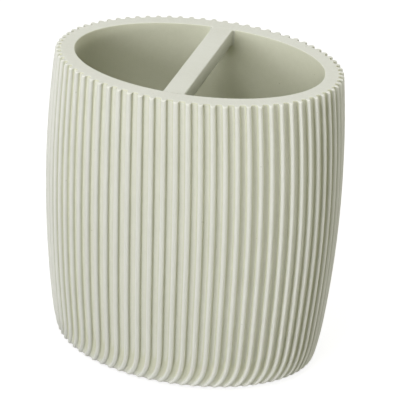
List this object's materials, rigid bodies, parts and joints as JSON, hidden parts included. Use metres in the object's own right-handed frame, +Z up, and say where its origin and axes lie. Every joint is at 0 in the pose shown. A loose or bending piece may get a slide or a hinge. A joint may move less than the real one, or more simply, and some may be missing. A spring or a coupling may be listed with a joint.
{
  "type": "toothbrush holder",
  "caption": "Oval tumbler-shaped toothbrush holder with a ribbed outside, a flat rim and a divider bar across its mouth.",
  "frame": {"origin": "on the table under the middle of the oval, level with the undersides of the foot pads", "axes": "+X along the long axis of the oval, +Y along the divider bar towards the back, +Z up"},
  "size_m": [0.102, 0.0766, 0.107],
  "materials": {
    "resin": "matte cast resin, pale sage ivory",
    "pad": "matte soft pad"
  },
  "bodies": {
    "root": {"ribbed_body": "resin", "divider_bar": "resin", "base_plug": "resin", "foot_pad_1": "pad", "foot_pad_2": "pad", "foot_pad_3": "pad", "foot_pad_4": "pad"}
  },
  "joints": []
}
